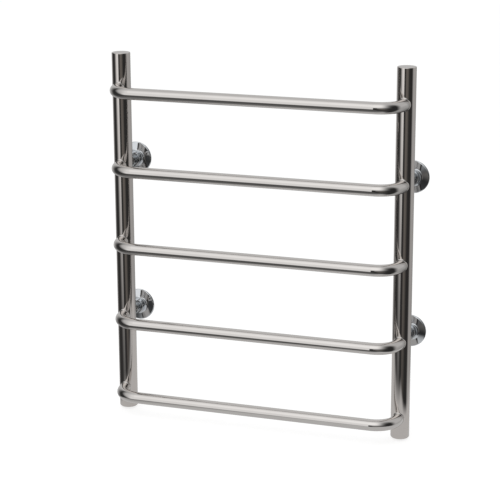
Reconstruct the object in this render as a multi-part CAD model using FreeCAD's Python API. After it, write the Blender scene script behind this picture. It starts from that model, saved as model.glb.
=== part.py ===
import FreeCAD, Part
import os

# Ladder towel rail heated by water, millimetres. Two upright collectors carry five U-bent bars, and
# four telescopic brackets hold the rack off the wall.
# X runs to the right along the wall, Y points into the wall, Z is up. The origin is on the wall plane,
# midway between the four screw holes.

COLLECTOR_SPACING = 500.0
COLLECTOR_RADIUS = 16.0
COLLECTOR_WALL = 2.0
WALL_TO_COLLECTOR = 60.0

BAR_COUNT = 5
BAR_PITCH = 135.0
BAR_RADIUS = 10.0
BAR_WALL = 1.5
BAR_BEND_RADIUS = 38.0
COLLECTOR_TO_BAR = 57.0

ABOVE_TOP_BAR = 60.0
BELOW_LOW_BAR = 37.0

CAP_THICKNESS = 3.0
CAP_EDGE_RADIUS = 1.0
CAP_SPIGOT_DEPTH = 4.0
SPIGOT_CLEARANCE = 0.05

BUSH_HEIGHT = 20.0
BUSH_EDGE_RADIUS = 3.0
INLET_RADIUS = 9.3  # minor radius of a G1/2 thread
INLET_CHAMFER = 1.0

BAR_WELD = 1.8
STEM_WELD = 1.2
VENT_WELD = 1.0

SLIDE_CLEARANCE = 0.05
STEM_RADIUS = 6.0
STEM_CHAMFER = 0.8
STEM_END_TO_WALL = 12.0
SOCKET_RADIUS = 10.0
SOCKET_LENGTH = 32.0
SOCKET_FLOOR = 5.0
SOCKET_CHAMFER = 0.8
FLANGE_RADIUS = 17.0
FLANGE_THICKNESS = 3.0
WALL_SCREW_RADIUS = 2.75
WALL_SCREW_HEAD_RADIUS = 5.0

GRUB_RADIUS = 2.5
GRUB_LENGTH = 3.4
GRUB_TO_WALL = 25.0
GRUB_KEY_ACROSS_FLATS = 2.5
GRUB_KEY_DEPTH = 1.8

ROSETTE_RADIUS = 28.0
ROSETTE_SHEET = 1.2
ROSETTE_BORE_CLEARANCE = 0.1
SKIRT_HEIGHT = 2.5
SHOULDER_RADIUS = 26.6
SHOULDER_TOP = 4.6
CONE_TOP = 13.6
NECK_RADIUS = 13.1
NECK_FRONT = 17.2
NECK_CHAMFER = 0.6
RING_THICKNESS = 1.5
RING_WIDTH = 2.4
RING_TO_WALL = 14.6

VENT_BELOW_TOP = 30.0
VENT_BOSS_RADIUS = 6.0
VENT_BOSS_HEIGHT = 4.0
VENT_THREAD_RADIUS = 4.0
VENT_GASKET_THICKNESS = 0.8
VENT_FLANGE_RADIUS = 5.5
VENT_FLANGE_THICKNESS = 2.5
BLEED_SHANK_RADIUS = 2.0
BLEED_HEAD_RADIUS = 4.0
BLEED_HEAD_THICKNESS = 2.8
BLEED_FLUTES = 8

UP = FreeCAD.Vector(0, 0, 1)
TO_WALL = FreeCAD.Vector(0, 1, 0)

collector_y = -WALL_TO_COLLECTOR
bar_y = collector_y - COLLECTOR_TO_BAR
bar_heights = [BAR_PITCH * ((BAR_COUNT - 1) / 2 - i) for i in range(BAR_COUNT)]
collector_top = bar_heights[0] + ABOVE_TOP_BAR
collector_bottom = bar_heights[-1] - BELOW_LOW_BAR
side_x = {"left": -COLLECTOR_SPACING / 2, "right": COLLECTOR_SPACING / 2}
bracket_z = {"upper": bar_heights[1], "lower": bar_heights[-2]}


def export(name, *solids):
    """Writes one named piece, or like pieces as a group of separate solids."""
    shape = solids[0] if len(solids) == 1 else Part.makeCompound(solids)
    shape.exportStep(f"parts/{name}.step")


def cylinder(radius, start, end):
    """A solid round bar between two points."""
    along = end - start
    return Part.makeCylinder(radius, along.Length, start, along)


def outline(*steps):
    """A closed wire in the (radius, height) half plane. A step is a corner, or a pair of points that
    an arc passes through and ends at."""
    curved = [isinstance(step[0], tuple) for step in steps]
    corners = [step[1] if arc else step for step, arc in zip(steps, curved)]
    points = [FreeCAD.Vector(radius, 0, height) for radius, height in corners]
    edges = []
    for i, step in enumerate(steps):
        if curved[i]:
            middle = FreeCAD.Vector(step[0][0], 0, step[0][1])
            edge = Part.Arc(points[i - 1], middle, points[i])
        else:
            edge = Part.LineSegment(points[i - 1], points[i])
        edges.append(edge.toShape())
    return Part.Wire(edges)


def turned(profile, base, axis):
    """A lathe part: the profile spun about Z, then set on base with its height along axis."""
    solid = Part.Face(profile).revolve(FreeCAD.Vector(0, 0, 0), UP, 360)
    solid.Placement = FreeCAD.Placement(base, FreeCAD.Rotation(UP, axis))
    return solid


def rounded_corner(radius, height, size):
    """The arc step that rounds an outer corner, from the side at radius to the end face at height."""
    slack = size * (1 - 0.5**0.5)
    return ((radius - slack, height - slack), (radius - size, height))


# ---- collectors -------------------------------------------------------------------------------------


def collector_core(x):
    """The full outer cylinder of a collector, which the coped ends of bars and stems are cut with."""
    return cylinder(
        COLLECTOR_RADIUS,
        FreeCAD.Vector(x, collector_y, collector_bottom),
        FreeCAD.Vector(x, collector_y, collector_top),
    )


def collector(x):
    """Upright tube between the bush and the cap, drilled for each bar at the front and the vent behind."""
    low = FreeCAD.Vector(x, collector_y, collector_bottom + BUSH_HEIGHT)
    high = FreeCAD.Vector(x, collector_y, collector_top - CAP_THICKNESS)
    tube = cylinder(COLLECTOR_RADIUS, low, high)
    tube = tube.cut(cylinder(COLLECTOR_RADIUS - COLLECTOR_WALL, low, high))
    reach = COLLECTOR_RADIUS + 1
    for z in bar_heights:
        centre = FreeCAD.Vector(x, collector_y, z)
        tube = tube.cut(cylinder(BAR_RADIUS - BAR_WALL, centre, centre - TO_WALL * reach))
    vent = FreeCAD.Vector(x, collector_y, collector_top - VENT_BELOW_TOP)
    return tube.cut(cylinder(VENT_THREAD_RADIUS, vent, vent + TO_WALL * reach))


def top_cap(x):
    """Turned end cap with a rounded edge, and a spigot that centres it in the tube."""
    spigot = COLLECTOR_RADIUS - COLLECTOR_WALL - SPIGOT_CLEARANCE
    full = CAP_SPIGOT_DEPTH + CAP_THICKNESS
    profile = outline(
        (0, 0),
        (spigot, 0),
        (spigot, CAP_SPIGOT_DEPTH),
        (COLLECTOR_RADIUS, CAP_SPIGOT_DEPTH),
        (COLLECTOR_RADIUS, full - CAP_EDGE_RADIUS),
        rounded_corner(COLLECTOR_RADIUS, full, CAP_EDGE_RADIUS),
        (0, full),
    )
    return turned(profile, FreeCAD.Vector(x, collector_y, collector_top - full), UP)


def inlet_bush(x):
    """Thick end ring, butt-welded to the tube, with the pipe thread's bore and a rounded lower edge."""
    profile = outline(
        (INLET_RADIUS, 0),
        (COLLECTOR_RADIUS, 0),
        (COLLECTOR_RADIUS, BUSH_HEIGHT - BUSH_EDGE_RADIUS),
        rounded_corner(COLLECTOR_RADIUS, BUSH_HEIGHT, BUSH_EDGE_RADIUS),
        (INLET_RADIUS + INLET_CHAMFER, BUSH_HEIGHT),
        (INLET_RADIUS, BUSH_HEIGHT - INLET_CHAMFER),
    )
    return turned(profile, FreeCAD.Vector(x, collector_y, collector_bottom + BUSH_HEIGHT), -UP)


# ---- welds ------------------------------------------------------------------------------------------


def weld_seam(x, z, radius, leg, way):
    """Weld round a rod that leaves the collector the given way, ground to a hollow fillet."""
    foot = FreeCAD.Vector(x, collector_y, z)
    tube = collector_core(x)
    rod = cylinder(radius, foot, foot + way * 2 * COLLECTOR_RADIUS)
    joint = tube.fuse(rod)
    meeting = [edge for edge in joint.Edges if not isinstance(edge.Curve, (Part.Line, Part.Circle))]
    return joint.makeFillet(leg, meeting).cut(tube).cut(rod)


# ---- bars -------------------------------------------------------------------------------------------


def bar_path(z):
    """Centre line of a bar: forward out of the left collector, round the bend, across and back."""
    left, right = side_x["left"], side_x["right"]
    bend_y = bar_y + BAR_BEND_RADIUS
    slack = BAR_BEND_RADIUS * (1 - 0.5**0.5)

    def at(x, y):
        return FreeCAD.Vector(x, y, z)

    edges = [
        Part.LineSegment(at(left, collector_y), at(left, bend_y)),
        Part.Arc(at(left, bend_y), at(left + slack, bar_y + slack), at(left + BAR_BEND_RADIUS, bar_y)),
        Part.LineSegment(at(left + BAR_BEND_RADIUS, bar_y), at(right - BAR_BEND_RADIUS, bar_y)),
        Part.Arc(at(right - BAR_BEND_RADIUS, bar_y), at(right - slack, bar_y + slack), at(right, bend_y)),
        Part.LineSegment(at(right, bend_y), at(right, collector_y)),
    ]
    return Part.Wire([edge.toShape() for edge in edges])


def swept_round(path, radius):
    """A solid rod of the given radius along a path that starts towards -Y."""
    start = path.Vertexes[0].Point
    circle = Part.Circle(start, TO_WALL, radius).toShape()
    return path.makePipeShell([Part.Wire(circle)], True, True)


def bar(z):
    """U-bent tube. Each end is coped to sit on its collector, and carries the weld that holds it."""
    path = bar_path(z)
    tube = swept_round(path, BAR_RADIUS).cut(swept_round(path, BAR_RADIUS - BAR_WALL))
    for x in side_x.values():
        tube = tube.cut(collector_core(x)).fuse(weld_seam(x, z, BAR_RADIUS, BAR_WELD, -TO_WALL))
    return tube.removeSplitter()


# ---- telescopic brackets ----------------------------------------------------------------------------


def bracket_stem(x, z):
    """Solid rod welded to the back of the collector, chamfered where it enters the socket."""
    start = FreeCAD.Vector(x, collector_y, z)
    end = FreeCAD.Vector(x, -STEM_END_TO_WALL, z)
    rod = cylinder(STEM_RADIUS, start, end)
    tip = [e for e in rod.Edges if isinstance(e.Curve, Part.Circle) and abs(e.Curve.Center.y - end.y) < 0.01]
    rod = rod.makeChamfer(STEM_CHAMFER, tip).cut(collector_core(x))
    return rod.fuse(weld_seam(x, z, STEM_RADIUS, STEM_WELD, TO_WALL)).removeSplitter()


def wall_socket(x, z):
    """Turned sleeve with a wall flange, a countersunk floor and a threaded hole for the grub screw."""
    bore = STEM_RADIUS + SLIDE_CLEARANCE
    sink = WALL_SCREW_HEAD_RADIUS - WALL_SCREW_RADIUS
    profile = outline(
        (WALL_SCREW_RADIUS, 0),
        (FLANGE_RADIUS, 0),
        (FLANGE_RADIUS, FLANGE_THICKNESS - SOCKET_CHAMFER),
        (FLANGE_RADIUS - SOCKET_CHAMFER, FLANGE_THICKNESS),
        (SOCKET_RADIUS, FLANGE_THICKNESS),
        (SOCKET_RADIUS, SOCKET_LENGTH - SOCKET_CHAMFER),
        (SOCKET_RADIUS - SOCKET_CHAMFER, SOCKET_LENGTH),
        (bore, SOCKET_LENGTH),
        (bore, SOCKET_FLOOR),
        (WALL_SCREW_HEAD_RADIUS, SOCKET_FLOOR),
        (WALL_SCREW_RADIUS, SOCKET_FLOOR - sink),
    )
    body = turned(profile, FreeCAD.Vector(x, 0, z), -TO_WALL)
    centre = FreeCAD.Vector(x, -GRUB_TO_WALL, z)
    return body.cut(cylinder(GRUB_RADIUS, centre, centre - UP * (SOCKET_RADIUS + 1)))


def grub_screw(x, z):
    """Headless screw under the socket, with a cup point and a hexagon socket. It clamps the stem."""
    radius = GRUB_RADIUS - SLIDE_CLEARANCE
    tip = STEM_RADIUS + 2 * SLIDE_CLEARANCE
    cup = 0.7
    profile = outline(
        (0, cup),
        (radius - cup, 0),
        (radius, cup),
        (radius, GRUB_LENGTH),
        (0, GRUB_LENGTH),
    )
    base = FreeCAD.Vector(x, -GRUB_TO_WALL, z - tip)
    screw = turned(profile, base, -UP)
    corner_radius = GRUB_KEY_ACROSS_FLATS / 3**0.5
    hexagon = Part.makePolygon(
        [
            base + FreeCAD.Rotation(UP, 60 * i).multVec(FreeCAD.Vector(corner_radius, 0, 0)) - UP * GRUB_LENGTH
            for i in range(7)
        ]
    )
    return screw.cut(Part.Face(hexagon).extrude(UP * GRUB_KEY_DEPTH))


def rosette(x, z):
    """Turned cover cup: short skirt, bevelled shoulder, cone, and a neck grooved inside for its ring."""
    bore = SOCKET_RADIUS + ROSETTE_BORE_CLEARANCE
    groove = SOCKET_RADIUS + RING_THICKNESS + ROSETTE_BORE_CLEARANCE
    groove_half = RING_WIDTH / 2 + SLIDE_CLEARANCE
    inside = ROSETTE_RADIUS - ROSETTE_SHEET
    cone_rise = (CONE_TOP - SHOULDER_TOP) / (SHOULDER_RADIUS - NECK_RADIUS)
    sheet_rise = ROSETTE_SHEET * (1 + cone_rise**2) ** 0.5
    profile = outline(
        (ROSETTE_RADIUS, 0),
        (ROSETTE_RADIUS, SKIRT_HEIGHT),
        (SHOULDER_RADIUS, SHOULDER_TOP),
        (NECK_RADIUS, CONE_TOP),
        (NECK_RADIUS, NECK_FRONT - NECK_CHAMFER),
        (NECK_RADIUS - NECK_CHAMFER, NECK_FRONT),
        (bore, NECK_FRONT),
        (bore, RING_TO_WALL + groove_half),
        (groove, RING_TO_WALL + groove_half),
        (groove, RING_TO_WALL - groove_half),
        (bore, RING_TO_WALL - groove_half),
        (bore, CONE_TOP - sheet_rise),
        (NECK_RADIUS, CONE_TOP - sheet_rise),
        (inside, CONE_TOP - sheet_rise - cone_rise * (inside - NECK_RADIUS)),
        (inside, 0),
    )
    return turned(profile, FreeCAD.Vector(x, 0, z), -TO_WALL)


def rosette_ring(x, z):
    """Flat rubber ring in the neck of the rosette, which grips the socket."""
    inside = SOCKET_RADIUS + SLIDE_CLEARANCE
    profile = outline(
        (inside, RING_TO_WALL - RING_WIDTH / 2),
        (inside + RING_THICKNESS, RING_TO_WALL - RING_WIDTH / 2),
        (inside + RING_THICKNESS, RING_TO_WALL + RING_WIDTH / 2),
        (inside, RING_TO_WALL + RING_WIDTH / 2),
    )
    return turned(profile, FreeCAD.Vector(x, 0, z), -TO_WALL)


# ---- air vents --------------------------------------------------------------------------------------


def vent_base(x):
    return FreeCAD.Vector(x, collector_y, collector_top - VENT_BELOW_TOP)


gasket_from = COLLECTOR_RADIUS + VENT_BOSS_HEIGHT
flange_from = gasket_from + VENT_GASKET_THICKNESS
flange_to = flange_from + VENT_FLANGE_THICKNESS
seat_at = COLLECTOR_RADIUS


def vent_boss(x):
    """Threaded ring welded to the back of the collector."""
    base = vent_base(x)
    ring = cylinder(VENT_BOSS_RADIUS, base, base + TO_WALL * gasket_from)
    ring = ring.cut(cylinder(VENT_THREAD_RADIUS, base, base + TO_WALL * gasket_from))
    weld = weld_seam(x, base.z, VENT_BOSS_RADIUS, VENT_WELD, TO_WALL)
    return ring.cut(collector_core(x)).fuse(weld).removeSplitter()


def vent_gasket(x):
    """Flat fibre washer under the vent's flange."""
    profile = outline(
        (VENT_THREAD_RADIUS, gasket_from),
        (VENT_FLANGE_RADIUS, gasket_from),
        (VENT_FLANGE_RADIUS, flange_from),
        (VENT_THREAD_RADIUS, flange_from),
    )
    return turned(profile, vent_base(x), TO_WALL)


def vent_plug(x):
    """Screwed-in vent body with a conical seat for the bleed screw and a side outlet for the air."""
    thread = VENT_THREAD_RADIUS - SLIDE_CLEARANCE
    bore = BLEED_SHANK_RADIUS + SLIDE_CLEARANCE
    port = 0.7
    inner_end = COLLECTOR_RADIUS - COLLECTOR_WALL - 1
    profile = outline(
        (port, inner_end),
        (thread, inner_end),
        (thread, flange_from),
        (VENT_FLANGE_RADIUS, flange_from),
        (VENT_FLANGE_RADIUS, flange_to),
        (bore, flange_to),
        (bore, seat_at),
        (port, seat_at - (bore - port)),
    )
    body = turned(profile, vent_base(x), TO_WALL)
    outlet = vent_base(x) + TO_WALL * (flange_from + flange_to) / 2
    return body.cut(cylinder(port, outlet, outlet - UP * (VENT_FLANGE_RADIUS + 1)))


def bleed_screw(x):
    """Needle screw with a fluted thumb head and a slot across it."""
    cone = BLEED_SHANK_RADIUS - 0.8
    tip = seat_at - cone + 4 * SLIDE_CLEARANCE
    head_from = flange_to + 0.3
    head_to = head_from + BLEED_HEAD_THICKNESS
    profile = outline(
        (0, tip),
        (BLEED_SHANK_RADIUS - cone, tip),
        (BLEED_SHANK_RADIUS, tip + cone),
        (BLEED_SHANK_RADIUS, head_from),
        (BLEED_HEAD_RADIUS, head_from),
        (BLEED_HEAD_RADIUS, head_to),
        (0, head_to),
    )
    base = vent_base(x)
    screw = turned(profile, base, TO_WALL)
    for i in range(BLEED_FLUTES):
        out = FreeCAD.Rotation(TO_WALL, 360 * (i + 0.5) / BLEED_FLUTES).multVec(UP)
        foot = base + out * (BLEED_HEAD_RADIUS + 0.25)
        screw = screw.cut(cylinder(0.6, foot + TO_WALL * head_from, foot + TO_WALL * head_to))
    slot = Part.makeBox(2 * BLEED_HEAD_RADIUS + 1, 1.2, 1.0)
    slot.translate(base + FreeCAD.Vector(-BLEED_HEAD_RADIUS - 0.5, head_to - 1.2, -0.5))
    return screw.cut(slot)


# ---- assembly ---------------------------------------------------------------------------------------

os.makedirs("parts", exist_ok=True)

for number, height in enumerate(bar_heights, 1):
    export(f"bar_{number}", bar(height))

for side, x in side_x.items():
    export(f"{side}_collector", collector(x))
    export(f"{side}_bleed_screw", bleed_screw(x))
    for level, z in bracket_z.items():
        export(f"{level}_{side}_rosette", rosette(x, z))
        export(f"{level}_{side}_rosette_ring", rosette_ring(x, z))
        export(f"{level}_{side}_grub_screw", grub_screw(x, z))

both_sides = side_x.values()
export("top_caps", *[top_cap(x) for x in both_sides])
export("inlet_bushes", *[inlet_bush(x) for x in both_sides])
export("vent_bosses", *[vent_boss(x) for x in both_sides])
export("vent_gaskets", *[vent_gasket(x) for x in both_sides])
export("vent_plugs", *[vent_plug(x) for x in both_sides])

four_corners = [(x, z) for x in both_sides for z in bracket_z.values()]
export("bracket_stems", *[bracket_stem(x, z) for x, z in four_corners])
export("wall_sockets", *[wall_socket(x, z) for x, z in four_corners])
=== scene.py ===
import math

import bpy
from mathutils import Matrix, Vector


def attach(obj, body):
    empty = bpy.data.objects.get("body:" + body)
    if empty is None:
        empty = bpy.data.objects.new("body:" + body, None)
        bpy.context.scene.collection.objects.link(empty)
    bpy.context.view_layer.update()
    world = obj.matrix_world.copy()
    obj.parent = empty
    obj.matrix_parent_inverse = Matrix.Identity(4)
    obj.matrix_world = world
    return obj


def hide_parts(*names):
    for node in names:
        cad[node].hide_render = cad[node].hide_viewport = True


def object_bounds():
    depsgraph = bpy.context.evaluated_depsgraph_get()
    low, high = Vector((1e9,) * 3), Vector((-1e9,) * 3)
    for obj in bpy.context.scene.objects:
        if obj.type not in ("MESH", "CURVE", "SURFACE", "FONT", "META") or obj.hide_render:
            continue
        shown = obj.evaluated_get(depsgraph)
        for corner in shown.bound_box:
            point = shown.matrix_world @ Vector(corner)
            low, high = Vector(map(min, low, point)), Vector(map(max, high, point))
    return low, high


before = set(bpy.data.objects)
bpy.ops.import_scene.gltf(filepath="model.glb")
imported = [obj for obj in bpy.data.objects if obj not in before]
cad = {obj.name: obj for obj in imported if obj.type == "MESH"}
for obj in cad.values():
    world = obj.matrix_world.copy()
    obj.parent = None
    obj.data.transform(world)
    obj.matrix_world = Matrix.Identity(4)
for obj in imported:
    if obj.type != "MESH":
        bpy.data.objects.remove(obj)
cad_low, cad_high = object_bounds()


# ---- upright collectors and their caps -------------------------------------------------------------
# Two seamless 32 mm tubes of stainless steel with a turned cap welded into the top of each. The welds
# are ground flush, and everything is buffed to a mirror, so no seam shows.

MILLIMETRE = 0.001
COLLECTOR_X = 250 * MILLIMETRE
COLLECTOR_Y = -60 * MILLIMETRE
COLLECTOR_RADIUS = 16 * MILLIMETRE


def linear(hex_colour):
    """The linear RGBA of an sRGB hex colour."""
    channels = [int(hex_colour[i : i + 2], 16) / 255 for i in (1, 3, 5)]
    return tuple(c / 12.92 if c <= 0.04045 else ((c + 0.055) / 1.055) ** 2.4 for c in channels) + (1.0,)


def add_node(tree, kind, settings=None, inputs=None):
    """Adds a shader node. An input is a plain value, or the socket that it is linked from."""
    node = tree.nodes.new(kind)
    for name, value in (settings or {}).items():
        setattr(node, name, value)
    for name, value in (inputs or {}).items():
        if isinstance(value, bpy.types.NodeSocket):
            tree.links.new(value, node.inputs[name])
        else:
            node.inputs[name].default_value = value
    return node


def new_material(name):
    """An empty node material, with its tree and its output node."""
    material = bpy.data.materials.new(name)
    material.use_nodes = True
    tree = material.node_tree
    tree.nodes.clear()
    return material, tree, add_node(tree, "ShaderNodeOutputMaterial")


def give_material(piece, material):
    """Puts one material on the whole piece."""
    piece.data.materials.clear()
    piece.data.materials.append(material)


def buffed_metal(name, light, dark, roughness, line_spacing, axis):
    """Mirror-buffed metal. The buffing wheel leaves faint lines that run round the given axis, and
    handling leaves soft cloudy patches where the shine is a little lower."""
    material, tree, output = new_material(name)
    place = add_node(tree, "ShaderNodeTexCoord").outputs["Object"]
    cloud_size = 38 * MILLIMETRE
    clouds = add_node(
        tree,
        "ShaderNodeTexNoise",
        inputs={"Vector": place, "Scale": 1 / cloud_size, "Detail": 3.0, "Roughness": 0.55},
    ).outputs["Fac"]
    tone = add_node(
        tree,
        "ShaderNodeMix",
        {"data_type": "RGBA"},
        {"Factor": clouds, "A": linear(light), "B": linear(dark)},
    ).outputs["Result"]
    clearest, cloudiest = 0.8 * roughness, 1.3 * roughness
    shine = add_node(
        tree,
        "ShaderNodeMapRange",
        inputs={
            "Value": clouds,
            "From Min": 0.3,
            "From Max": 0.7,
            "To Min": clearest,
            "To Max": cloudiest,
        },
    ).outputs["Result"]
    line_length = 12 * line_spacing
    stretch = [1 / line_length] * 3
    stretch["XYZ".index(axis)] = 1 / line_spacing
    lines_at = add_node(
        tree, "ShaderNodeVectorMath", {"operation": "MULTIPLY"}, {0: place, 1: stretch}
    ).outputs["Vector"]
    lines = add_node(
        tree, "ShaderNodeTexNoise", inputs={"Vector": lines_at, "Scale": 1.0, "Detail": 2.0}
    ).outputs["Fac"]
    grain = add_node(
        tree,
        "ShaderNodeBump",
        inputs={"Height": lines, "Strength": 0.04, "Distance": 0.02 * MILLIMETRE},
    ).outputs["Normal"]
    metal = add_node(
        tree,
        "ShaderNodeBsdfPrincipled",
        inputs={"Base Color": tone, "Metallic": 1.0, "Roughness": shine, "Normal": grain},
    )
    tree.links.new(metal.outputs["BSDF"], output.inputs["Surface"])
    return material


# Stainless steel 304, buffed: warmer and darker than chrome plating, with a clear mirror image.
buffed_upright = buffed_metal(
    "buffed_stainless_upright",
    "#dcd7d3",
    "#d3cdc9",
    roughness=0.028,
    line_spacing=0.5 * MILLIMETRE,
    axis="Z",
)
for node in ("left_collector", "right_collector", "top_caps"):
    give_material(cad[node], buffed_upright)


# ---- inlet bushes ----------------------------------------------------------------------------------
# A thick turned ring of the same steel closes the foot of each collector and carries the internal pipe
# thread. It is butt-welded and buffed outside; the thread inside keeps its cut finish.

INLET_TOP = -287 * MILLIMETRE
INLET_HEIGHT = 20 * MILLIMETRE
INLET_ROUNDING = 3 * MILLIMETRE
THREAD_PITCH = 1.814 * MILLIMETRE
THREAD_MINOR = 9.3 * MILLIMETRE
THREAD_DEPTH = 1.16 * MILLIMETRE
THREAD_MOUTH = INLET_HEIGHT - 0.8 * MILLIMETRE
THREAD_END = 0.6 * MILLIMETRE
ROWS_PER_TURN = 8


def filleted(corners, steps):
    """Rounds the corners of an open outline. Each corner is (radius, height, rounding)."""
    points = []
    for i, (radius, height, rounding) in enumerate(corners):
        corner = Vector((radius, height))
        if rounding == 0 or i in (0, len(corners) - 1):
            points.append(corner)
            continue
        before = (Vector(corners[i - 1][:2]) - corner).normalized()
        after = (Vector(corners[i + 1][:2]) - corner).normalized()
        half = before.angle(after) / 2
        reach = rounding / math.tan(half)
        centre = corner + (before + after).normalized() * (rounding / math.sin(half))
        start = corner + before * reach - centre
        turn = start.angle_signed(corner + after * reach - centre)
        for step in range(steps + 1):
            points.append(centre + Matrix.Rotation(-turn * step / steps, 2) @ start)
    return [tuple(point) for point in points]


def turned_mesh(name, rings, places, direction, segments):
    """A lathe part as a mesh. Rings is a closed list of (radius, height), or of functions of the turn
    angle that give them. One copy stands at each place, with its height along direction."""
    vertices, faces = [], []
    aim = Vector((0, 0, 1)).rotation_difference(Vector(direction)).to_matrix()
    for place in places:
        first = len(vertices)
        for ring in rings:
            for s in range(segments):
                angle = 2 * math.pi * s / segments
                radius, height = ring(angle) if callable(ring) else ring
                spoke = Vector((math.cos(angle) * radius, math.sin(angle) * radius, height))
                vertices.append(Vector(place) + aim @ spoke)
        count = len(rings)
        for i in range(count):
            for s in range(segments):
                near, far = first + i * segments, first + (i + 1) % count * segments
                faces.append((near + s, near + (s + 1) % segments, far + (s + 1) % segments, far + s))
    mesh = bpy.data.meshes.new(name)
    mesh.from_pydata(vertices, [], faces)
    piece = bpy.data.objects.new(name, mesh)
    bpy.context.scene.collection.objects.link(piece)
    return piece


def smooth(piece, crease_degrees):
    """Smooth shading that stays sharp at the real edges."""
    piece.data.shade_smooth()
    piece.data.set_sharp_from_angle(angle=math.radians(crease_degrees))


def thread_ring(height):
    """One turn of mesh round the bore, cut to the depth that the pipe thread has there."""

    def cut(angle):
        turn = (height / THREAD_PITCH - angle / (2 * math.pi)) % 1
        return THREAD_MINOR + THREAD_DEPTH * (1 - abs(2 * turn - 1)), height

    return cut


mouth_radius = THREAD_MINOR + THREAD_DEPTH
outside = filleted(
    [
        (COLLECTOR_RADIUS, 0, 0),
        (COLLECTOR_RADIUS, INLET_HEIGHT, INLET_ROUNDING),
        (mouth_radius, INLET_HEIGHT, 0),
    ],
    steps=10,
)
thread_rows = int(INLET_HEIGHT / THREAD_PITCH * ROWS_PER_TURN)
thread = [
    thread_ring(THREAD_MOUTH - i * (THREAD_MOUTH - THREAD_END) / thread_rows)
    for i in range(thread_rows + 1)
]
inlets = turned_mesh(
    "threaded_inlet_bushes",
    outside + thread + [(mouth_radius, 0)],
    [(x, COLLECTOR_Y, INLET_TOP) for x in (-COLLECTOR_X, COLLECTOR_X)],
    (0, 0, -1),
    segments=96,
)
smooth(inlets, crease_degrees=30)
give_material(inlets, buffed_upright)
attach(inlets, "rack")
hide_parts("inlet_bushes")


# ---- bars ------------------------------------------------------------------------------------------
# Five 20 mm tubes, each bent to a U and coped to sit on the collectors. They are welded on, and buffed
# after bending with the same wheel as the collectors.

# The same steel with the wheel's lines round a level tube: one long clean streak of light along it.
buffed_across = buffed_metal(
    "buffed_stainless_across",
    "#dddad7",
    "#d5d1ce",
    roughness=0.025,
    line_spacing=0.5 * MILLIMETRE,
    axis="X",
)
for number in range(1, 6):
    give_material(cad[f"bar_{number}"], buffed_across)


# ---- telescopic brackets ---------------------------------------------------------------------------
# A solid stem on the back of the collector slides in a turned socket on the wall, and a grub screw
# under the socket clamps it. Stems are buffed with the rack; sockets are turned and chromed; the grub
# screws are hardened steel with a black oxide skin.

BRACKET_HEIGHTS = (135 * MILLIMETRE, -135 * MILLIMETRE)

# The same steel, buffed less far on a thin rod: its mirror image is softer.
buffed_stem = buffed_metal(
    "buffed_stainless_stem",
    "#d5d2ce",
    "#cccac5",
    roughness=0.06,
    line_spacing=0.4 * MILLIMETRE,
    axis="Y",
)
give_material(cad["bracket_stems"], buffed_stem)


def turned_metal(name, light, dark, roughness, centre, feed):
    """Turned metal: the tool leaves fine rings round the centre on the faces, and rings along Y on the
    round sides. The real feed is finer than this, and is drawn as coarse as it needs to show. One
    centre serves the same places on the other side and the other level too."""
    material, tree, output = new_material(name)
    place = add_node(tree, "ShaderNodeTexCoord").outputs["Object"]
    folded = add_node(
        tree, "ShaderNodeVectorMath", {"operation": "ABSOLUTE"}, {0: place}
    ).outputs["Vector"]
    from_centre = add_node(
        tree, "ShaderNodeVectorMath", {"operation": "SUBTRACT"}, {0: folded, 1: centre}
    ).outputs["Vector"]
    flat = add_node(
        tree, "ShaderNodeVectorMath", {"operation": "MULTIPLY"}, {0: from_centre, 1: (1, 0, 1)}
    ).outputs["Vector"]
    radius = add_node(tree, "ShaderNodeVectorMath", {"operation": "LENGTH"}, {0: flat}).outputs["Value"]
    depth = add_node(tree, "ShaderNodeSeparateXYZ", inputs={0: place}).outputs["Y"]
    travel = add_node(tree, "ShaderNodeMath", {"operation": "ADD"}, {0: radius, 1: depth}).outputs[0]
    wave = add_node(
        tree, "ShaderNodeMath", {"operation": "MULTIPLY"}, {0: travel, 1: 2 * math.pi / feed}
    ).outputs[0]
    rings = add_node(tree, "ShaderNodeMath", {"operation": "SINE"}, {0: wave}).outputs[0]
    stain_size = 9 * MILLIMETRE
    stains = add_node(
        tree, "ShaderNodeTexNoise", inputs={"Vector": place, "Scale": 1 / stain_size, "Detail": 4.0}
    ).outputs["Fac"]
    tone = add_node(
        tree,
        "ShaderNodeMix",
        {"data_type": "RGBA"},
        {"Factor": stains, "A": linear(light), "B": linear(dark)},
    ).outputs["Result"]
    cleanest, dullest = 0.6 * roughness, 1.4 * roughness
    shine = add_node(
        tree,
        "ShaderNodeMapRange",
        inputs={"Value": stains, "To Min": cleanest, "To Max": dullest},
    ).outputs["Result"]
    relief = add_node(
        tree,
        "ShaderNodeBump",
        inputs={"Height": rings, "Strength": 0.15, "Distance": 0.01 * MILLIMETRE},
    ).outputs["Normal"]
    metal = add_node(
        tree,
        "ShaderNodeBsdfPrincipled",
        inputs={"Base Color": tone, "Metallic": 1.0, "Roughness": shine, "Normal": relief},
    )
    tree.links.new(metal.outputs["BSDF"], output.inputs["Surface"])
    return material


# Chrome plating on brass that was left as turned: cool and bright, with a satin spread of light.
bracket_centre = (COLLECTOR_X, 0, BRACKET_HEIGHTS[0])
turned_chrome = turned_metal(
    "turned_brass_chromed",
    "#c4c8cb",
    "#aeb3b7",
    roughness=0.16,
    centre=bracket_centre,
    feed=0.5 * MILLIMETRE,
)
give_material(cad["wall_sockets"], turned_chrome)

# Black oxide on hardened steel: nearly black, with the dull sheen of oil.
black_oxide = turned_metal(
    "hardened_steel_black_oxide",
    "#2a2a2c",
    "#1b1a1a",
    roughness=0.38,
    centre=bracket_centre,
    feed=0.4 * MILLIMETRE,
)
brackets = [f"{level}_{side}" for level in ("upper", "lower") for side in ("left", "right")]
for bracket in brackets:
    give_material(cad[f"{bracket}_grub_screw"], black_oxide)


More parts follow.
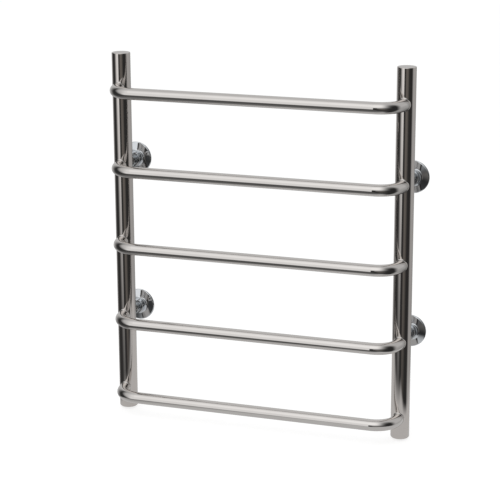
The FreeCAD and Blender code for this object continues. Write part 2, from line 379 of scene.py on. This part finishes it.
# ---- wall covers -----------------------------------------------------------------------------------
# Each socket hides under a brass cover, turned and chromed: a shallow dish with a rolled rim, whose
# middle flares into a tall neck. A flat rubber ring in the neck grips the socket. The face is flatter
# here than on the plain cover that it replaces.

COVER_RADIUS = 28.0 * MILLIMETRE
COVER_HEIGHT = 17.2 * MILLIMETRE
COVER_WALL = 1.2 * MILLIMETRE
COVER_EDGE_ROUNDING = 0.2 * MILLIMETRE
RIM_FOOT = (COVER_RADIUS, 1.6 * MILLIMETRE)
RIM_TOP = (26.2 * MILLIMETRE, 3.0 * MILLIMETRE)
RIM_ROLL = 0.25 * MILLIMETRE
NECK_RADIUS = 12.8 * MILLIMETRE
NECK_FOOT = 4.8 * MILLIMETRE
NECK_FLARE = 5.0 * MILLIMETRE
NECK_ROUNDING = 0.8 * MILLIMETRE
NECK_BORE = 10.1 * MILLIMETRE
NECK_BORE_ROUNDING = 0.3 * MILLIMETRE
GROOVE_RADIUS = 11.6 * MILLIMETRE
GROOVE_BACK = 13.35 * MILLIMETRE
GROOVE_FRONT = 15.85 * MILLIMETRE
HOLLOW_FACE = 3.4 * MILLIMETRE
HOLLOW_RADIUS = 17.4 * MILLIMETRE
HOLLOW_RIM = 1.0 * MILLIMETRE


def bowed(start, end, rise, steps=10):
    """Unrounded points on the arc between two outline points. It stands off their chord by rise."""
    start, end = Vector(start), Vector(end)
    chord = end - start
    bend = 4 * math.atan(2 * rise / chord.length)
    middle = (start + end) / 2 + chord.orthogonal() / (2 * math.tan(bend / 2))
    arc = [middle + Matrix.Rotation(bend * i / steps, 2) @ (start - middle) for i in range(1, steps)]
    return [(point.x, point.y, 0) for point in arc]


cover_outline = filleted(
    [
        (COVER_RADIUS - COVER_WALL, 0, 0),
        (COVER_RADIUS, 0, COVER_EDGE_ROUNDING),
        (*RIM_FOOT, 0),
        *bowed(RIM_FOOT, RIM_TOP, RIM_ROLL),
        (*RIM_TOP, 0),
        (NECK_RADIUS, NECK_FOOT, NECK_FLARE),
        (NECK_RADIUS, COVER_HEIGHT, NECK_ROUNDING),
        (NECK_BORE, COVER_HEIGHT, NECK_BORE_ROUNDING),
        (NECK_BORE, GROOVE_FRONT, 0),
        (GROOVE_RADIUS, GROOVE_FRONT, 0),
        (GROOVE_RADIUS, GROOVE_BACK, 0),
        (NECK_BORE, GROOVE_BACK, 0),
        (NECK_BORE, HOLLOW_FACE, 0),
        (HOLLOW_RADIUS, HOLLOW_FACE, 0),
        (COVER_RADIUS - COVER_WALL, HOLLOW_RIM, 0),
    ],
    steps=8,
)

# Chrome plating on polished brass: cooler and brighter than the steel, with a clear mirror image.
chrome = buffed_metal(
    "chromed_brass",
    "#dfe2e5",
    "#d6dade",
    roughness=0.03,
    line_spacing=0.3 * MILLIMETRE,
    axis="Y",
)

# Black rubber, moulded: dull, with a faint bloom.
rubber, tree, output = new_material("moulded_rubber")
place = add_node(tree, "ShaderNodeTexCoord").outputs["Object"]
bloom_size = 2 * MILLIMETRE
bloom = add_node(
    tree, "ShaderNodeTexNoise", inputs={"Vector": place, "Scale": 1 / bloom_size, "Detail": 5.0}
).outputs["Fac"]
tone = add_node(
    tree,
    "ShaderNodeMix",
    {"data_type": "RGBA"},
    {"Factor": bloom, "A": linear("#1a1a1a"), "B": linear("#2e2d2c")},
).outputs["Result"]
skin = add_node(
    tree, "ShaderNodeBump", inputs={"Height": bloom, "Strength": 0.3, "Distance": 0.05 * MILLIMETRE}
).outputs["Normal"]
rubber_skin = add_node(
    tree, "ShaderNodeBsdfPrincipled", inputs={"Base Color": tone, "Roughness": 0.7, "Normal": skin}
)
tree.links.new(rubber_skin.outputs["BSDF"], output.inputs["Surface"])

for bracket in brackets:
    level, side = bracket.split("_")
    x = -COLLECTOR_X if side == "left" else COLLECTOR_X
    z = BRACKET_HEIGHTS[0] if level == "upper" else BRACKET_HEIGHTS[1]
    cover = turned_mesh(f"{bracket}_wall_cover", cover_outline, [(x, 0, z)], (0, -1, 0), segments=128)
    smooth(cover, crease_degrees=25)
    give_material(cover, chrome)
    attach(cover, f"{bracket}_cover")
    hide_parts(f"{bracket}_rosette")
    give_material(cad[f"{bracket}_rosette_ring"], rubber)


# ---- air vents -------------------------------------------------------------------------------------
# At the top of each collector's back a welded boss holds a nickel-plated brass vent: a plug on a fibre
# washer, and a fluted screw that is opened a turn to let the air out.

VENT_HEIGHT = 300 * MILLIMETRE

give_material(cad["vent_bosses"], buffed_stem)

# Nickel plating on turned brass: yellower and softer than chrome, with a satin shine.
nickel = turned_metal(
    "nickel_plated_brass",
    "#c9c2b2",
    "#b3ab99",
    roughness=0.24,
    centre=(COLLECTOR_X, 0, VENT_HEIGHT),
    feed=0.35 * MILLIMETRE,
)
for node in ("vent_plugs", "left_bleed_screw", "right_bleed_screw"):
    give_material(cad[node], nickel)

# Pressed fibre, red-brown and matt, with short fibres showing at the cut edge.
fibre, tree, output = new_material("pressed_fibre")
place = add_node(tree, "ShaderNodeTexCoord").outputs["Object"]
strand_size = 0.6 * MILLIMETRE
strands = add_node(
    tree, "ShaderNodeTexNoise", inputs={"Vector": place, "Scale": 1 / strand_size, "Detail": 6.0}
).outputs["Fac"]
tone = add_node(
    tree,
    "ShaderNodeMix",
    {"data_type": "RGBA"},
    {"Factor": strands, "A": linear("#5a2f22"), "B": linear("#7c4633")},
).outputs["Result"]
fibre_skin = add_node(tree, "ShaderNodeBsdfPrincipled", inputs={"Base Color": tone, "Roughness": 0.85})
tree.links.new(fibre_skin.outputs["BSDF"], output.inputs["Surface"])
give_material(cad["vent_gaskets"], fibre)


# ---- studio light ----------------------------------------------------------------------------------
# A soft dome that is white to the eye. Polished tubes only look like steel when they have something
# dark to mirror, so the dome that the metal sees has dark flags hung in it, as they would hang in a
# studio. Bearings are in degrees: 0 is straight in front of the object, 90 is to its right.

WHITE = (1, 1, 1, 1)
DOME_STRENGTH = 0.6
DOME_GREY, KEY_GREY = 0.58, 1.18
TOWARD_KEY = (-0.025, -0.707, 0.707)
KEY_RIM, KEY_MIDDLE = 0.47, 0.99  # cosines of the angles from the key light, 62 and 8 degrees
KEY_FALL = 2.0
LEAN = 0.3  # degrees to the side for each degree up
BOX_DISTANCE, BOX_WIDTH, BOX_DEPTH, BOX_STRENGTH = 2.6, 1.9, 1.5, 1.4

world = bpy.data.worlds.new("studio_dome")
bpy.context.scene.world = world
world.use_nodes = True
tree = world.node_tree
tree.nodes.clear()
look = add_node(tree, "ShaderNodeTexCoord").outputs["Generated"]
toward = add_node(tree, "ShaderNodeSeparateXYZ", inputs={0: look}).outputs
forward = add_node(tree, "ShaderNodeMath", {"operation": "MULTIPLY"}, {0: toward["Y"], 1: -1.0})
turn = add_node(
    tree, "ShaderNodeMath", {"operation": "ARCTAN2"}, {0: toward["X"], 1: forward.outputs[0]}
).outputs[0]
bearing = add_node(tree, "ShaderNodeMath", {"operation": "DEGREES"}, {0: turn}).outputs[0]
rise = add_node(tree, "ShaderNodeMath", {"operation": "ARCSINE"}, {0: toward["Z"]}).outputs[0]
climb = add_node(tree, "ShaderNodeMath", {"operation": "DEGREES"}, {0: rise}).outputs[0]

# Two measures for edges that aren't upright: slant falls to the right at 45 degrees, lean more steeply.
slant = add_node(tree, "ShaderNodeMath", {"operation": "ADD"}, {0: bearing, 1: climb}).outputs[0]
lean = add_node(
    tree, "ShaderNodeMath", {"operation": "MULTIPLY_ADD"}, {0: climb, 1: LEAN, 2: bearing}
).outputs[0]


def hang(tree, behind, level, edges):
    """Hangs a soft-edged sheet of the given brightness in front of behind. It covers what lies inside
    all of its edges, and an edge is (measure, where the cover starts, where it is full)."""
    cover = None
    for measure, start, full in edges:
        edge = add_node(
            tree,
            "ShaderNodeMapRange",
            {"interpolation_type": "SMOOTHSTEP"},
            {"Value": measure, "From Min": start, "From Max": full},
        ).outputs["Result"]
        if cover is None:
            cover = edge
        else:
            cover = add_node(
                tree, "ShaderNodeMath", {"operation": "MULTIPLY"}, {0: cover, 1: edge}
            ).outputs[0]
    return add_node(
        tree, "ShaderNodeMix", {"data_type": "RGBA"}, {"Factor": cover, "A": behind, "B": level}
    ).outputs["Result"]


def grey(level, warmth=0.0):
    """A grey light of that strength, a little warm or, below 0, a little cool."""
    return (level * (1 + warmth), level, level * (1 - warmth), 1)


# The key light is a wide soft glow high in front. It is brightest at its middle.
near_key = add_node(
    tree, "ShaderNodeVectorMath", {"operation": "DOT_PRODUCT"}, {0: look, 1: TOWARD_KEY}
).outputs["Value"]
near_key = add_node(
    tree, "ShaderNodeMapRange", inputs={"Value": near_key, "From Min": KEY_RIM, "From Max": KEY_MIDDLE}
).outputs["Result"]
glow = add_node(tree, "ShaderNodeMath", {"operation": "POWER"}, {0: near_key, 1: KEY_FALL}).outputs[0]
dome = add_node(
    tree,
    "ShaderNodeMix",
    {"data_type": "RGBA"},
    {"Factor": glow, "A": grey(DOME_GREY), "B": grey(KEY_GREY)},
).outputs["Result"]

walls = [
    # A paler one behind on the left, a darker one behind on the right, and the darkest right behind.
    (grey(0.66), [(bearing, -90, -125), (climb, 10, 40)]),
    (grey(0.46), [(bearing, 90, 110), (climb, 12, -6)]),
    (grey(0.36), [(bearing, 135, 160), (climb, 45, 25)]),
    # A white reflector, low in front and a little to the left.
    (grey(0.93), [(bearing, -60, -32), (bearing, -3, -17), (climb, 30, 6)]),
]
for level, edges in walls:
    dome = hang(tree, dome, level, edges)

# The room's floor is dark in front and mid-grey behind, and both fade in below the horizon.
ground = grey(0.42)
ground_patches = [
    (grey(0.10), [(bearing, -135, -85), (bearing, 102, 80)]),
    (grey(0.25), [(climb, -30, -80)]),
    (grey(0.22), [(bearing, 115, 155), (climb, -5, -35)]),
]
for level, edges in ground_patches:
    ground = hang(tree, ground, level, edges)
mirrored = hang(tree, dome, ground, [(climb, -8, -21)])

flags = [
    # A tall one that leans, on the left.
    (grey(0.035), [(lean, -138, -94), (slant, -41, -77), (climb, 64, 36), (climb, -55, -15)]),
    # A low one with very soft edges, across the front.
    (grey(0.03), [(bearing, -14, 4), (bearing, 90, 50), (climb, 26, -9), (climb, -52, -20)]),
    # A narrow stand before it, near enough to be crisp in the bends of the bars.
    (grey(0.035), [(bearing, -13.4, -12.6), (bearing, 4, -2), (climb, 13, 9), (climb, -22, -17)]),
    # A faint brown band, which slants.
    (grey(0.155, 0.08), [(slant, -12, 6), (slant, 42, 22), (climb, 2, -9), (climb, -26, -14)]),
    # A tall one on the right.
    (grey(0.03), [(bearing, 14, 66), (bearing, 107, 79), (climb, 92, 24)]),
]
for level, edges in flags:
    mirrored = hang(tree, mirrored, level, edges)

# Dull surfaces get plain white light, metal sees the flags, and the eye sees white.
path = add_node(tree, "ShaderNodeLightPath")
for_light = add_node(tree, "ShaderNodeBackground", inputs={"Color": WHITE, "Strength": DOME_STRENGTH})
for_metal = add_node(tree, "ShaderNodeBackground", inputs={"Color": mirrored, "Strength": 1.0})
for_eye = add_node(tree, "ShaderNodeBackground", inputs={"Color": WHITE, "Strength": 1.0})
unseen = add_node(
    tree,
    "ShaderNodeMixShader",
    inputs={0: path.outputs["Is Glossy Ray"], 1: for_light.outputs[0], 2: for_metal.outputs[0]},
)
shown = add_node(
    tree,
    "ShaderNodeMixShader",
    inputs={0: path.outputs["Is Camera Ray"], 1: unseen.outputs[0], 2: for_eye.outputs[0]},
)
add_node(tree, "ShaderNodeOutputWorld", inputs={"Surface": shown.outputs[0]})

# One soft box lights the dull pieces from the same side as the glow. The metal has the glow instead.
lamp_data = bpy.data.lights.new("soft_box", "AREA")
lamp_data.shape = "RECTANGLE"
lamp_data.size, lamp_data.size_y = BOX_WIDTH, BOX_DEPTH
lamp_data.energy = BOX_STRENGTH * math.pi * BOX_WIDTH * BOX_DEPTH
soft_box = bpy.data.objects.new("soft_box", lamp_data)
soft_box.location = Vector(TOWARD_KEY) * BOX_DISTANCE
soft_box.rotation_euler = soft_box.location.to_track_quat("Z", "Y").to_euler()
soft_box.visible_glossy = False
bpy.context.scene.collection.objects.link(soft_box)


# ---- floor -----------------------------------------------------------------------------------------
# A pale floor just under the feet. It is white to the eye and keeps the object's shadow. In the metal
# it is a pale sheet round the feet, and the dark floor of the room beyond that. Sizes are in metres.

FLOOR_HEIGHT = cad_low.z - 3 * MILLIMETRE
FLOOR_HALF = 15
FLOOR_WHITE, FLOOR_PAINT = 0.72, 0.5  # what it shows without light, and what it returns of the light
SHEET_GREY = 0.58
SHEET_TURN = math.radians(14)

floor_corners = [(-1, -1), (1, -1), (1, 1), (-1, 1)]
floor_points = [(x * FLOOR_HALF, y * FLOOR_HALF, FLOOR_HEIGHT) for x, y in floor_corners]
mesh = bpy.data.meshes.new("floor")
mesh.from_pydata(floor_points, [], [(0, 1, 2, 3)])
floor = bpy.data.objects.new("floor", mesh)
bpy.context.scene.collection.objects.link(floor)

material, tree, output = new_material("pale_floor")
spot = add_node(tree, "ShaderNodeTexCoord").outputs["Object"]
spot = add_node(
    tree, "ShaderNodeMapping", inputs={"Vector": spot, "Rotation": (0, 0, SHEET_TURN)}
).outputs["Vector"]
spot = add_node(tree, "ShaderNodeSeparateXYZ", inputs={0: spot}).outputs
sheet = hang(
    tree,
    grey(0),
    WHITE,
    [
        (spot["X"], -0.31, -0.25),
        (spot["X"], 0.46, 0.38),
        (spot["Y"], -0.34, -0.15),
        (spot["Y"], 0.5, 0.2),
    ],
)
path = add_node(tree, "ShaderNodeLightPath")
paint = add_node(tree, "ShaderNodeBsdfDiffuse", inputs={"Color": grey(FLOOR_PAINT)})
shine = add_node(tree, "ShaderNodeEmission", inputs={"Color": WHITE, "Strength": FLOOR_WHITE})
lit = add_node(tree, "ShaderNodeAddShader", inputs={0: paint.outputs[0], 1: shine.outputs[0]})
pale = add_node(tree, "ShaderNodeEmission", inputs={"Color": grey(SHEET_GREY), "Strength": 1.0})
nothing = add_node(tree, "ShaderNodeBsdfTransparent")
in_metal = add_node(
    tree, "ShaderNodeMixShader", inputs={0: sheet, 1: nothing.outputs[0], 2: pale.outputs[0]}
)
floor_mix = add_node(
    tree,
    "ShaderNodeMixShader",
    inputs={0: path.outputs["Is Glossy Ray"], 1: lit.outputs[0], 2: in_metal.outputs[0]},
)
tree.links.new(floor_mix.outputs[0], output.inputs["Surface"])
give_material(floor, material)


# ---- camera ----------------------------------------------------------------------------------------
# A long lens, which looks from the right of the object and a little above it. It is rolled by a
# fraction of a degree.

CAMERA_PLACE = (0.9186, -2.7903, 0.7900)
CAMERA_DEGREES = (74.702, 0.231, 18.891)
SENSOR_WIDTH, FOCAL_LENGTH = 36, 125.96  # in millimetres

camera_data = bpy.data.cameras.new("camera")
camera_data.sensor_width = SENSOR_WIDTH
camera_data.lens = FOCAL_LENGTH
camera = bpy.data.objects.new("camera", camera_data)
camera.location = CAMERA_PLACE
camera.rotation_euler = [math.radians(degrees) for degrees in CAMERA_DEGREES]
bpy.context.scene.collection.objects.link(camera)
bpy.context.scene.camera = camera
bpy.context.scene.view_settings.view_transform = "Standard"
